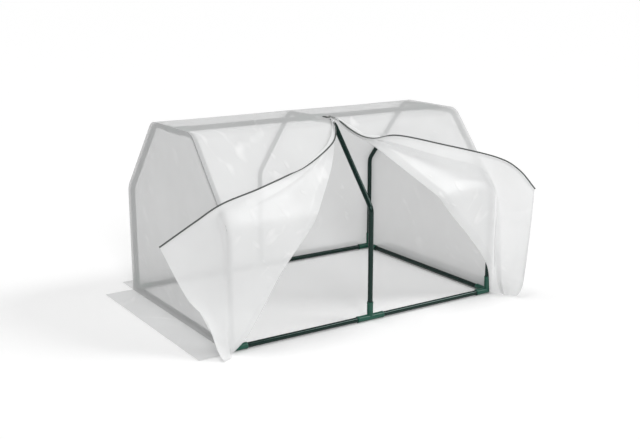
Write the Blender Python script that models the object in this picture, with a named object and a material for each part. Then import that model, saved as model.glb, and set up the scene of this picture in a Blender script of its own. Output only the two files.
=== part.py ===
"""Mini greenhouse: a push-fit steel tube frame under a film cover with two door flaps.

Metres, +Z up. The origin is on the ground in the middle of the base. The front is at -Y and the left end at -X.
"""

import math

import bmesh
import bpy
from mathutils import Matrix, Vector

# Frame, measured between the axes of the tubes, with heights above the ground
FRAME_LENGTH = 0.984
FRAME_DEPTH = 0.684
KNEE_HEIGHT = 0.360
TOP_HEIGHT = 0.600
TOP_WIDTH = 0.268
BEND_RADIUS = 0.045

# Tubes and the sockets that they push into
TUBE_DIAMETER = 0.016
TUBE_WALL = 0.0006
SOCKET_CLEARANCE = 0.0003
SOCKET_WALL = 0.0017
SOCKET_REACH = 0.050
TUBE_STOP = 0.016
COLLAR_WIDTH = 0.006
COLLAR_STEP = 0.0006

# Cover
FILM = 0.0006
FILM_CLEARANCE = 0.0003
SKIRT_WIDTH = 0.100
ROOF_EDGE = 0.075
CORNER_TAB = 0.007

# Door flaps
CREASE_LIFT = 0.0014
FLAP_LIFT = 0.0050
MOUTH_GAP = 0.0015
BEND_SOFTNESS = 0.003
FOLD_OUT = 0.005
FLARE_LEFT = 0.016
FLARE_RIGHT = 0.022
MOUTH_LENGTH = 0.035
MOUTH_SEAM = 0.003

# Zip
CHAIN_WIDTH = 0.0052
CHAIN_HEIGHT = 0.0018
ZIP_CLEARANCE = 0.0003
SEAM_CLEARANCE = 0.0010
JOINED_LENGTH = 0.036
SLIDER_LENGTH = 0.014
SLIDER_NOSE = 0.006
SLIDER_WALL = 0.0011
CROWN_HEIGHT = 0.0036
CROWN_WIDTH = 0.0024
CROWN_SETBACK = 0.002
PULL_LENGTH = 0.024
PULL_WIDTH = 0.0072
PULL_THICKNESS = 0.0012
PULL_CLEARANCE = 0.0004
PULL_DROOP = 2

# Facets
SIDES = 12
BEND_STEPS = 5
SHEET_STEP = 0.034
FLAP_STEP = 0.025
FLAP_COLUMNS = 14
FLAP_FOLD_COLUMN = 9

# Where the creases of the doors cross the front: how far down it, and how far across from the middle
CREASE_LEFT = ((0, 0), (0.10, 0.045), (0.25, 0.163), (0.42, 0.345), (0.56, 0.50), (0.69, 0.657), (0.83, 0.79),
               (0.94, 0.90), (1, 1))
CREASE_RIGHT = ((0, 0), (0.09, 0.055), (0.18, 0.20), (0.43, 0.47), (0.56, 0.615), (0.70, 0.80), (0.85, 0.96),
                (1, 1))

# Shares down a door's crease: where the zip edge passes the end hoop, where the door's free corner is,
# and how much faster than the crease its fold over the hoop comes down
ZIP_AT_HOOP_SHARE = 0.64
FLAP_CORNER_SHARE = 0.80
FOLD_RISE_RATIO = 1.48

# Where each door's hinge line crosses the sloping film's plane, as shares across from the middle: at the
# height of the top bend and at the height of the knee. It keeps inside of the crease all the way down
HINGE_LEFT = (-0.044, 0.355)
HINGE_RIGHT = (-0.020, 0.378)

HALF_LENGTH = FRAME_LENGTH / 2
HALF_DEPTH = FRAME_DEPTH / 2
HALF_TOP = TOP_WIDTH / 2
TUBE_RADIUS = TUBE_DIAMETER / 2
BORE_RADIUS = TUBE_RADIUS + SOCKET_CLEARANCE
SOCKET_RADIUS = BORE_RADIUS + SOCKET_WALL
COLLAR_RADIUS = SOCKET_RADIUS + COLLAR_STEP
BASE_HEIGHT = COLLAR_RADIUS * math.cos(math.pi / SIDES)
FILM_OFFSET = COLLAR_RADIUS + FILM_CLEARANCE + FILM / 2
FOOT_HEIGHT = FILM + FILM_CLEARANCE
LEFT, RIGHT = -1, 1

X = Vector((1, 0, 0))
Y = Vector((0, 1, 0))
Z = Vector((0, 0, 1))


def clear_scene():
    """Remove every object, so that the script gives the same scene each time."""
    for item in list(bpy.data.objects):
        bpy.data.objects.remove(item, do_unlink=True)


def make_material(name, colour, roughness, metallic=0.0, alpha=1.0):
    """Return a Principled material."""
    material = bpy.data.materials.new(name)
    material.use_nodes = True
    shader = material.node_tree.nodes["Principled BSDF"]
    shader.inputs["Base Color"].default_value = (*colour, 1.0)
    shader.inputs["Roughness"].default_value = roughness
    shader.inputs["Metallic"].default_value = metallic
    shader.inputs["Alpha"].default_value = alpha
    return material


def make_object(name, mesh, material):
    """Link a mesh to the scene as a named object with its material, round faces smooth."""
    mesh.shade_smooth()
    mesh.set_sharp_from_angle(angle=math.radians(40))
    item = bpy.data.objects.new(name, mesh)
    bpy.context.scene.collection.objects.link(item)
    item.data.materials.append(material)
    return item


def mesh_from(name, points, faces):
    """Return a mesh with its faces turned outwards."""
    shape = bmesh.new()
    corners = [shape.verts.new(point) for point in points]
    for face in faces:
        shape.faces.new([corners[index] for index in face])
    bmesh.ops.recalc_face_normals(shape, faces=shape.faces)
    mesh = bpy.data.meshes.new(name)
    shape.to_mesh(mesh)
    shape.free()
    return mesh


def ring(centre, across, up, radius):
    """Return the corners of a tube's section round a point."""
    turns = [2 * math.pi * (side + 0.5) / SIDES for side in range(SIDES)]
    return [centre + radius * (math.cos(turn) * across + math.sin(turn) * up) for turn in turns]


def bridge(first, second):
    """Return the quads between two rings, given as the index of each ring's first corner."""
    steps = [(side, (side + 1) % SIDES) for side in range(SIDES)]
    return [(first + a, first + b, second + b, second + a) for a, b in steps]


def rounded(corners, radius):
    """Return a path through corners with an arc of the given radius at each inner corner."""
    path = [corners[0]]
    for before, corner, after in zip(corners, corners[1:], corners[2:]):
        inward = (before - corner).normalized()
        outward = (after - corner).normalized()
        half_turn = (math.pi - inward.angle(outward)) / 2
        centre = corner + (inward + outward).normalized() * radius / math.cos(half_turn)
        start = corner + inward * radius * math.tan(half_turn) - centre
        axis = start.cross(corner + outward * radius * math.tan(half_turn) - centre).normalized()
        for step in range(BEND_STEPS + 1):
            path.append(centre + Matrix.Rotation(2 * half_turn * step / BEND_STEPS, 3, axis) @ start)
    return path + [corners[-1]]


def tube(name, path, across, material):
    """Sweep an open steel tube along a path; across is square to the path's plane."""
    points = []
    last = len(path) - 1
    for index, centre in enumerate(path):
        ahead = (path[min(index + 1, last)] - path[max(index - 1, 0)]).normalized()
        up = ahead.cross(across)
        points += ring(centre, across, up, TUBE_RADIUS)
        points += ring(centre, across, up, TUBE_RADIUS - TUBE_WALL)
    faces = []
    for index in range(last):
        here = 2 * SIDES * index
        faces += bridge(here, here + 2 * SIDES)
        faces += bridge(here + SIDES, here + 3 * SIDES)
    faces += bridge(0, SIDES)
    faces += bridge(2 * SIDES * last, 2 * SIDES * last + SIDES)
    return make_object(name, mesh_from(name, points, faces), material)


def socket_arm(name, direction, across):
    """Turn one socket arm: a closed core at the origin, a blind bore and a collar at the mouth."""
    up = direction.cross(across)
    start = -0.86 * SOCKET_RADIUS
    collar = SOCKET_REACH - COLLAR_WIDTH
    stop = TUBE_STOP - SOCKET_CLEARANCE
    outline = ((start, SOCKET_RADIUS), (collar, SOCKET_RADIUS), (collar, COLLAR_RADIUS),
               (SOCKET_REACH, COLLAR_RADIUS), (SOCKET_REACH, BORE_RADIUS), (stop, BORE_RADIUS))
    points = []
    for distance, radius in outline:
        points += ring(distance * direction, across, up, radius)
    faces = [tuple(range(SIDES))]
    for index in range(len(outline) - 1):
        faces += bridge(index * SIDES, (index + 1) * SIDES)
    faces.append(tuple(range((len(outline) - 1) * SIDES, len(outline) * SIDES)))
    return mesh_from(name, points, faces)


def joined(name, meshes, material):
    """Return one solid made of overlapping closed meshes."""
    body = make_object(name, meshes[0], material)
    cutters = []
    for mesh in meshes[1:]:
        cutter = make_object(mesh.name + "_add", mesh, material)
        union = body.modifiers.new("join", "BOOLEAN")
        union.operation = "UNION"
        union.solver = "EXACT"
        union.object = cutter
        cutters.append(cutter)
    bpy.context.view_layer.update()
    body.data = bpy.data.meshes.new_from_object(body.evaluated_get(bpy.context.evaluated_depsgraph_get()))
    body.modifiers.clear()
    for cutter in cutters:
        bpy.data.objects.remove(cutter, do_unlink=True)
    return body


def connector(name, centre, directions, material):
    """Build a moulded connector with one socket arm in each direction, then move it to its place."""
    arms = []
    for direction in directions:
        across = Y if abs(direction.x) > 0.5 else X
        arms.append(socket_arm(name, direction, across))
    body = joined(name, arms, material)
    body.data.transform(Matrix.Translation(centre))
    return body


def solid_sheet(name, rows, material):
    """Give a grid of points the film's thickness, half on each side."""
    width = len(rows[0])
    points = [point for row in rows for point in row]
    faces = []
    for row in range(len(rows) - 1):
        for column in range(width - 1):
            here = row * width + column
            faces.append((here, here + 1, here + width + 1, here + width))
    return thicken(make_object(name, mesh_from(name, points, faces), material))


def thicken(sheet):
    """Add the film's thickness to a flat mesh."""
    skin = sheet.modifiers.new("film", "SOLIDIFY")
    skin.thickness = FILM
    skin.offset = 0.0
    skin.use_even_offset = True
    return sheet


def hoop_corners(offset):
    """Return knee and top corner of the front's outline, moved outwards from the tube axes."""
    knee = Vector((0, -HALF_DEPTH, KNEE_HEIGHT))
    top = Vector((0, -HALF_TOP, TOP_HEIGHT))
    slope = X.cross(top - knee).normalized()
    leg = -Y
    return [knee + offset * (leg + slope) / (1 + leg.dot(slope)), top + offset * (slope + Z) / (1 + slope.dot(Z))]


def front_line(offset):
    """Return the front's outline from its seam with the roof down to the ground, at x = 0."""
    knee, top = hoop_corners(offset)
    start = Vector((0, -ROOF_EDGE - FILM_CLEARANCE, TOP_HEIGHT + offset))
    end = Vector((0, -HALF_DEPTH - offset, FOOT_HEIGHT))
    return rounded([start, top, knee, end], BEND_RADIUS + offset)


def back_line(offset):
    """Return the outline from the foot of the back wall over the roof to the front seam."""
    knee, top = hoop_corners(offset)
    start = Vector((0, HALF_DEPTH + offset, FOOT_HEIGHT))
    end = Vector((0, -ROOF_EDGE, TOP_HEIGHT + offset))
    return rounded([start, Vector((0, -knee.y, knee.z)), Vector((0, -top.y, top.z)), end], BEND_RADIUS + offset)


def door_line(offset):
    """Return the front's outline from early in its top bend, where the doors part, to the ground."""
    return front_line(offset)[2:]


def refined(path, stride):
    """Return a path with its long straight runs divided into strides of about this length."""
    fine = [path[0]]
    for start, end in zip(path, path[1:]):
        steps = max(1, round((end - start).length / stride))
        fine += [start.lerp(end, step / steps) for step in range(1, steps + 1)]
    return fine


def shares(path):
    """Return how far along a path each of its points lies, from 0 to 1."""
    lengths = [0.0]
    for start, end in zip(path, path[1:]):
        lengths.append(lengths[-1] + (end - start).length)
    return [length / lengths[-1] for length in lengths]


def at_share(path, share):
    """Return the point at a share of a path's length; beyond the end it goes straight on."""
    marks = shares(path)
    index = 0
    while index < len(path) - 2 and marks[index + 1] < share:
        index += 1
    part = (share - marks[index]) / (marks[index + 1] - marks[index])
    return path[index].lerp(path[index + 1], part)


def spline(points, share):
    """Return the point at a share of the way along a smooth curve, with even shares between its points."""
    ends = [2 * points[0] - points[1]] + list(points) + [2 * points[-1] - points[-2]]
    index = min(int(share * (len(points) - 1)), len(points) - 2)
    t = share * (len(points) - 1) - index
    a, b, c, d = ends[index:index + 4]
    bend = (2 * a - 5 * b + 4 * c - d) * t ** 2 + (3 * b - a - 3 * c + d) * t ** 3
    return b + 0.5 * ((c - a) * t + bend)


def smooth(points):
    """Return a fine path on the smooth curve through the given points."""
    steps = 12 * (len(points) - 1)
    return [spline(points, step / steps) for step in range(steps + 1)]


def crease_across(side, down):
    """Return the place across the front of a door's crease, where it is the given share down the front."""
    marks = CREASE_LEFT if side == LEFT else CREASE_RIGHT
    curve = smooth([Vector((mark[1], mark[0], 0)) for mark in marks])
    index = 0
    while index < len(curve) - 2 and curve[index + 1].y < down:
        index += 1
    start, end = curve[index:index + 2]
    across = start.x + (end.x - start.x) * (down - start.y) / (end.y - start.y)
    reach = HALF_LENGTH + FILM_OFFSET - CORNER_TAB - MOUTH_GAP
    return side * (MOUTH_GAP + across * reach)


def front_at(side, across, down, lift):
    """Return a point on the front film, by its shares across and down, lifted outwards."""
    point = at_share(door_line(FILM_OFFSET + lift), down)
    return Vector((side * across * HALF_LENGTH, point.y, point.z))


def beyond_post(side, out, forward, height):
    """Return a point past the corner post: out along the length, forward of the front."""
    return Vector((side * (HALF_LENGTH + FILM_OFFSET + out), -HALF_DEPTH - FILM_OFFSET - forward, height))


def clear_of_cover(point, side, gap):
    """Return the point moved outwards where it must be, to lie the gap off the fixed film."""
    knee, top = Vector((0, -HALF_DEPTH, KNEE_HEIGHT)), Vector((0, -HALF_TOP, TOP_HEIGHT))
    walls = ((-Y, knee), (X.cross(top - knee).normalized(), knee), (Z, top))
    for _ in range(4):
        depths = [normal.dot(point - anchor) - FILM_OFFSET for normal, anchor in walls]
        weights = [math.exp((depth - max(depths)) / BEND_SOFTNESS) for depth in depths]
        depth = max(depths) + BEND_SOFTNESS * math.log(sum(weights))
        push = sum((weight * wall[0] for weight, wall in zip(weights, walls)), Vector()) / sum(weights)
        end_depth = side * point.x - HALF_LENGTH - FILM_OFFSET
        if end_depth > depth:
            depth, push = end_depth, side * X
        point = point + push * max(0.0, gap - depth) / push.length_squared
    return point


def build_frame(steel, plastic):
    """Build base, hoops and ridge."""
    ends = (("left", -HALF_LENGTH), ("middle", 0.0), ("right", HALF_LENGTH))
    sides = (("front", -HALF_DEPTH), ("back", HALF_DEPTH))
    for side, y in sides:
        inward = -Y if y > 0 else Y
        for end, x in ends:
            foot = Vector((x, y, BASE_HEIGHT))
            if end == "middle":
                connector("base_tee_" + side, foot, (X, -X, Z), plastic)
            else:
                connector("base_corner_" + side + "_" + end, foot, (-X if x > 0 else X, inward, Z), plastic)
            hoop_tube("hoop_" + end + "_" + side, x, -1 if y < 0 else 1, steel)
        for end, x in (ends[0], ends[2]):
            near = Vector((math.copysign(TUBE_STOP, x), y, BASE_HEIGHT))
            far = Vector((x - math.copysign(TUBE_STOP, x), y, BASE_HEIGHT))
            tube("base_rail_" + side + "_" + end, [near, far], Y, steel)
    for end, x in (ends[0], ends[2]):
        reach = HALF_DEPTH - TUBE_STOP
        tube("base_rail_side_" + end, [Vector((x, -reach, BASE_HEIGHT)), Vector((x, reach, BASE_HEIGHT))], X, steel)
    build_ridge(ends, steel, plastic)


def hoop_tube(name, x, side, steel):
    """Bend one half of a hoop: leg, knee, slope, top bend and half of the flat top."""
    corners = [(HALF_DEPTH, BASE_HEIGHT + TUBE_STOP), (HALF_DEPTH, KNEE_HEIGHT), (HALF_TOP, TOP_HEIGHT),
               (TUBE_STOP, TOP_HEIGHT)]
    path = rounded([Vector((x, side * y, z)) for y, z in corners], BEND_RADIUS)
    tube(name, path, X, steel)


def build_ridge(ends, steel, plastic):
    """Build the joints on top of the hoops and the two tubes between them."""
    arms = {"left": (Y, -Y, X), "middle": (Y, -Y, X, -X), "right": (Y, -Y, -X)}
    for end, x in ends:
        connector("ridge_joint_" + end, Vector((x, 0, TOP_HEIGHT)), arms[end], plastic)
    for end, x in (ends[0], ends[2]):
        step = math.copysign(TUBE_STOP, x)
        tube("ridge_tube_" + end, [Vector((step, 0, TOP_HEIGHT)), Vector((x - step, 0, TOP_HEIGHT))], Y, steel)


def build_cover(film):
    """Build the fixed sheets of the cover."""
    reach = HALF_LENGTH + FILM_OFFSET - FILM / 2 - FILM_CLEARANCE
    rows = [[point - reach * X, point + reach * X] for point in refined(back_line(FILM_OFFSET), SHEET_STEP)]
    solid_sheet("cover_back_and_roof", rows, film)
    for side, end in ((LEFT, "left"), (RIGHT, "right")):
        end_wall("cover_end_" + end, side, film)
        front_panel("cover_front_" + end, side, reach, film)
        skirt("ground_skirt_" + end, side, film)
    back_skirt("ground_skirt_back", film)


def end_wall(name, side, film):
    """Cut one six-sided end wall."""
    outline = back_line(FILM_OFFSET + FILM / 2)[:-1] + front_line(FILM_OFFSET + FILM / 2)[1:]
    x = side * (HALF_LENGTH + FILM_OFFSET)
    points = [Vector((x, point.y, point.z)) for point in outline]
    thicken(make_object(name, mesh_from(name, points, [tuple(range(len(points)))]), film))


def front_panel(name, side, reach, film):
    """Build the fixed front film beside a door: from the roof's seam to the crease of the door."""
    door = refined(door_line(FILM_OFFSET), SHEET_STEP)
    roof = refined(front_line(FILM_OFFSET)[:2], SHEET_STEP)
    marks = [0.0] * len(roof) + shares(door)
    rows = []
    for point, down in zip(roof + door, marks):
        inner = crease_across(side, down)
        rows.append([Vector((inner, point.y, point.z)), Vector((side * reach, point.y, point.z))])
    solid_sheet(name, rows, film)


def flat_skirt(name, low, high, film):
    """Lay a strip of film on the ground between two corners."""
    rows = [[Vector((x, y, FILM / 2)) for x in (low[0], high[0])] for y in (low[1], high[1])]
    solid_sheet(name, rows, film)


def skirt(name, side, film):
    """Lay the ground skirt of one end."""
    inner = HALF_LENGTH + FILM_OFFSET
    outer = inner + SKIRT_WIDTH
    half = HALF_DEPTH + FILM_OFFSET
    low, high = sorted((side * inner, side * outer))
    flat_skirt(name, (low, -half), (high, half), film)


def back_skirt(name, film):
    """Lay the ground skirt of the back."""
    half = HALF_LENGTH + FILM_OFFSET - FILM_CLEARANCE
    inner = HALF_DEPTH + FILM_OFFSET
    flat_skirt(name, (-half, inner + FILM_CLEARANCE), (half, inner + SKIRT_WIDTH), film)


def left_flap_lines():
    """Return the left flap's zip edge and its hem."""
    side = LEFT
    zip_edge = [front_at(side, 0.014, 0.004, 0.003), front_at(side, 0.058, 0.100, 0.011),
                front_at(side, 0.15, 0.178, 0.020), front_at(side, 0.41, 0.269, 0.018),
                front_at(side, 0.73, 0.337, 0.019), front_at(side, 1.01, 0.383, 0.019),
                beyond_post(side, 0.060, -0.068, 0.384), beyond_post(side, 0.144, -0.136, 0.305)]
    hem = [zip_edge[-1], beyond_post(side, 0.105, -0.059, 0.175), beyond_post(side, 0.068, -0.013, 0.113),
           beyond_post(side, 0.054, 0.031, 0.029), beyond_post(side, 0.044, 0.046, 0.004)]
    return smooth(zip_edge), smooth(hem)


def right_flap_lines():
    """Return the right flap's zip edge and its hem."""
    side = RIGHT
    zip_edge = [front_at(side, 0.014, 0.006, 0.003), front_at(side, 0.072, 0.100, 0.010),
                front_at(side, 0.18, 0.163, 0.020), front_at(side, 0.36, 0.200, 0.041),
                front_at(side, 0.64, 0.282, 0.056), front_at(side, 1.00, 0.390, 0.074),
                beyond_post(side, 0.067, 0.032, 0.425), beyond_post(side, 0.130, 0.049, 0.355)]
    hem = [zip_edge[-1], beyond_post(side, 0.108, 0.064, 0.250), beyond_post(side, 0.075, 0.082, 0.110),
           beyond_post(side, 0.056, 0.089, 0.036), beyond_post(side, 0.040, 0.083, 0.006)]
    return smooth(zip_edge), smooth(hem)


def fold_at(side, start, end, down):
    """Return a door's fold on the row from start to end: over the end hoop, where the row passes it."""
    corner = HALF_LENGTH + FILM_OFFSET + FOLD_OUT
    if side * end.x < corner + FOLD_OUT / 2:
        even = FLAP_FOLD_COLUMN / FLAP_COLUMNS
        return start.lerp(end, even + 0.8 * (1 - even) * min(1.0, down / ZIP_AT_HOOP_SHARE) ** 3)
    place = 1 - FOLD_RISE_RATIO * (1 - down)
    flare = FLARE_LEFT if side == LEFT else FLARE_RIGHT
    lift = FOLD_OUT + flare * max(0.0, place) ** 3
    point = at_share(door_line(FILM_OFFSET + lift), place)
    point.x = side * (corner + (lift - FOLD_OUT) / 2)
    return point


def stand_off(reach):
    """Return how far a flap must stand off the cover at a place this far from its crease."""
    return min(FLAP_LIFT, CREASE_LIFT + 0.3 * reach.length)


def flap_rows(side):
    """Return the grid of points of a door flap, from its crease over its fold to its free edges."""
    zip_edge, hem = left_flap_lines() if side == LEFT else right_flap_lines()
    line = refined(door_line(FILM_OFFSET + CREASE_LIFT), FLAP_STEP)
    marks = shares(line)
    corner = min(marks, key=lambda mark: abs(mark - FLAP_CORNER_SHARE))
    rows = []
    for point, down in zip(line, marks):
        point.x = crease_across(side, down)
        past_corner = down > corner
        end = at_share(hem, (down - corner) / (1 - corner)) if past_corner else at_share(zip_edge, down / corner)
        fold = fold_at(side, point, end, down)
        near = [point.lerp(fold, step / FLAP_FOLD_COLUMN) for step in range(1, FLAP_FOLD_COLUMN + 1)]
        steps = FLAP_COLUMNS - FLAP_FOLD_COLUMN
        far = [fold.lerp(end, step / steps) for step in range(1, steps + 1)]
        rows.append([point] + [clear_of_cover(place, side, stand_off(place - point)) for place in near + far])
    return rows, marks.index(corner)


def split_at_mouth(rows):
    """Return the rows of a flap beside the mouth, which stay put, and the rows that swing, just clear of them."""
    length = 0.0
    index = 0
    while length < MOUTH_LENGTH:
        length += (rows[index + 1][0] - rows[index][0]).length
        index += 1
    first = [start + MOUTH_SEAM * (after - start).normalized()
             for start, after in zip(rows[index], rows[index + 1])]
    return rows[:index + 1], [first] + rows[index + 1:]


def zip_strip(name, rows, cord):
    """Build the part of a zip's half that runs along the upper edge of a flap's rows."""
    points = []
    for index, row in enumerate(rows):
        ahead = rows[min(index + 1, len(rows) - 1)][-1] - rows[max(index - 1, 0)][-1]
        out = row[-1] - row[-2]
        out = (out - out.project(ahead)).normalized()
        up = ahead.cross(out).normalized()
        near = row[-1] + SEAM_CLEARANCE * out
        far = near + CHAIN_WIDTH * out
        half = CHAIN_HEIGHT / 2 * up
        points += [near - half, near + half, far + half, far - half]
    last = 4 * (len(rows) - 1)
    faces = [(0, 1, 2, 3), (last, last + 1, last + 2, last + 3)]
    for here in range(0, last, 4):
        faces += [(here + a, here + b, here + 4 + b, here + 4 + a) for a, b in ((0, 1), (1, 2), (2, 3), (3, 0))]
    return make_object(name, mesh_from(name, points, faces), cord)


def hinge_line(side):
    """Return the top and the knee end of a door's hinge line, in the plane of the sloping film."""
    knee, top = hoop_corners(FILM_OFFSET + CREASE_LIFT)
    at_top, at_knee = HINGE_LEFT if side == LEFT else HINGE_RIGHT
    return top + side * at_top * HALF_LENGTH * X, knee + side * at_knee * HALF_LENGTH * X


def hang(item, hinge):
    """Parent an object to its hinge without moving it."""
    item.parent = hinge
    item.matrix_parent_inverse = hinge.matrix_world.inverted()


def make_hinge(name, start, end):
    """Place an empty at the start of a hinge line, with its Z along the line."""
    hinge = bpy.data.objects.new(name, None)
    hinge.empty_display_size = 0.05
    bpy.context.scene.collection.objects.link(hinge)
    hinge.matrix_world = Matrix.Translation(start) @ (end - start).to_track_quat("Z", "Y").to_matrix().to_4x4()
    bpy.context.view_layer.update()
    return hinge


def build_doors(film, cord):
    """Build both door flaps with their halves of the zip."""
    for side, end in ((LEFT, "left"), (RIGHT, "right")):
        rows, corner = flap_rows(side)
        mouth, flap = split_at_mouth(rows)
        solid_sheet("door_mouth_" + end, mouth, film)
        zip_strip("zip_mouth_" + end, mouth, cord)
        hinge = make_hinge("door_hinge_" + end, *hinge_line(side))
        hang(solid_sheet("door_flap_" + end, flap, film), hinge)
        hang(zip_strip("zip_half_" + end, flap[:len(flap) - len(rows) + corner + 1], cord), hinge)


def block(name, low, high):
    """Return a plain block between two corners."""
    points = [Vector((x, y, z)) for x in (low[0], high[0]) for y in (low[1], high[1]) for z in (low[2], high[2])]
    faces = [(0, 1, 3, 2), (4, 5, 7, 6), (0, 1, 5, 4), (2, 3, 7, 6), (0, 2, 6, 4), (1, 3, 7, 5)]
    return mesh_from(name, points, faces)


def build_joined_zip(cord, metal):
    """Build the joined length of zip on the roof, its slider and the pull."""
    film_top = TOP_HEIGHT + FILM_OFFSET + FILM / 2
    start = -ROOF_EDGE - 0.002
    end = start - JOINED_LENGTH
    low = film_top + ZIP_CLEARANCE
    high = low + CHAIN_HEIGHT
    chain = block("zip_joined", (-CHAIN_WIDTH, end, low), (CHAIN_WIDTH, start, high))
    make_object("zip_joined", chain, cord)
    build_slider(end - SLIDER_NOSE, low, high, metal)


def build_slider(front, low, high, metal):
    """Build the slider over the end of the joined zip, with its crown, and the pull in the crown."""
    inner = CHAIN_WIDTH + ZIP_CLEARANCE
    outer = inner + SLIDER_WALL
    back = front + SLIDER_LENGTH
    roof = high + ZIP_CLEARANCE
    top = roof + SLIDER_WALL
    plate = block("zip_slider", (-outer, front, roof), (outer, back, top))
    walls = [block("wall", *span) for span in (((-outer, front, low), (-inner, back, top - 0.0002)),
                                               ((inner, front, low), (outer, back, top - 0.0002)))]
    crown = [block("crown", *span) for span in crown_spans(front, back, top)]
    slider = joined("zip_slider", [plate] + walls + crown, metal)
    slider.data.name = "zip_slider"
    build_pull(front, back, top, metal)


def crown_spans(front, back, top):
    """Return the corners of the crown's two feet and its bar."""
    half = CROWN_WIDTH / 2
    wall = SLIDER_WALL
    foot = top - 0.0003
    crest = top + CROWN_HEIGHT
    first = front + CROWN_SETBACK
    last = back - CROWN_SETBACK
    return (((-half, first, foot), (half, first + wall, crest)),
            ((-half, last - wall, foot), (half, last, crest)),
            ((-half, first, crest - wall), (half, last, crest)))


def build_pull(front, back, top, metal):
    """Build the pull: a flat tab whose slot takes the crown."""
    axis_y = front + CROWN_SETBACK + SLIDER_WALL + PULL_CLEARANCE + PULL_THICKNESS / 2
    axis_z = top + CROWN_HEIGHT - SLIDER_WALL - PULL_CLEARANCE - PULL_THICKNESS / 2
    half = PULL_THICKNESS / 2
    side = CROWN_WIDTH / 2 + PULL_CLEARANCE
    wide = PULL_WIDTH / 2
    slot = axis_y - (back - CROWN_SETBACK - axis_y) - PULL_CLEARANCE
    tail = axis_y - PULL_LENGTH
    tab = block("zip_pull", (-wide, tail, axis_z - half), (wide, slot, axis_z + half))
    arms = [block("arm", (low, slot - 0.001, axis_z - half), (high, axis_y + half, axis_z + half))
            for low, high in ((-wide, -side), (side, wide))]
    bar = block("bar", (-wide + 0.0002, axis_y - half, axis_z - half * 0.98),
                (wide - 0.0002, axis_y + half * 0.98, axis_z + half * 0.98))
    pull = joined("zip_pull", [tab] + arms + [bar], metal)
    pivot = Vector((0, axis_y, axis_z))
    droop = Matrix.Rotation(math.radians(PULL_DROOP), 4, "X")
    pull.data.transform(Matrix.Translation(pivot) @ droop @ Matrix.Translation(-pivot))
    hang(pull, make_hinge("pull_hinge", pivot, pivot + X))


def build():
    """Build the whole greenhouse."""
    clear_scene()
    steel = make_material("green_steel", (0.010, 0.035, 0.028), 0.32, metallic=0.35)
    plastic = make_material("green_plastic", (0.012, 0.105, 0.070), 0.38)
    film = make_material("clear_film", (0.83, 0.84, 0.84), 0.28, alpha=0.55)
    cord = make_material("zip_grey", (0.150, 0.170, 0.160), 0.55)
    metal = make_material("zip_metal", (0.300, 0.310, 0.300), 0.35, metallic=0.8)
    build_frame(steel, plastic)
    build_cover(film)
    build_doors(film, cord)
    build_joined_zip(cord, metal)


build()
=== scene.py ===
"""Dresses the mini greenhouse: smooth tubes, a clear film cover, folded doors, zip, light and camera."""

import logging
import math
from dataclasses import dataclass
from enum import Enum
from functools import cache

import bpy
import numpy as np
from mathutils import Matrix, Vector, noise


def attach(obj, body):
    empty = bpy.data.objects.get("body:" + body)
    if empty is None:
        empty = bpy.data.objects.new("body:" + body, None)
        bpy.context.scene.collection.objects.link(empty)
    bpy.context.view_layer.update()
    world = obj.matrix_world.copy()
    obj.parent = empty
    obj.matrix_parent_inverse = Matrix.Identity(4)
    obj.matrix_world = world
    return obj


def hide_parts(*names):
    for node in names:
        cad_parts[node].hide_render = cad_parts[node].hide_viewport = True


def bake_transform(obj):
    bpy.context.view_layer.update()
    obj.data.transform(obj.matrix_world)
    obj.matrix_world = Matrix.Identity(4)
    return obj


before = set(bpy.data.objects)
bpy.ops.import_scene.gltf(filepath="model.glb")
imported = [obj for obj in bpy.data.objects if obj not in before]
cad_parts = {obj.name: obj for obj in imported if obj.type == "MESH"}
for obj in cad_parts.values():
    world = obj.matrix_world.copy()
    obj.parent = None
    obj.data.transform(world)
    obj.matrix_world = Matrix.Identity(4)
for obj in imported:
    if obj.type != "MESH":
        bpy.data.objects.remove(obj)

LOG = logging.getLogger("greenhouse")

X, Y, Z = Vector((1, 0, 0)), Vector((0, 1, 0)), Vector((0, 0, 1))
SHARP_EDGE = math.radians(38)
CURVE_STEPS = 12

Socket = bpy.types.NodeSocket
Piece = bpy.types.Object
Pair = tuple[float, float]
Triple = tuple[float, float, float]
Faces = list[tuple[int, ...]]
Path = list[Vector]
Grid = np.ndarray


class Side(Enum):
    """The two ends of the greenhouse."""

    LEFT = -1
    RIGHT = 1

    @property
    def word(self) -> str:
        """Return the side's name as the nodes spell it."""
        return self.name.lower()


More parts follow.
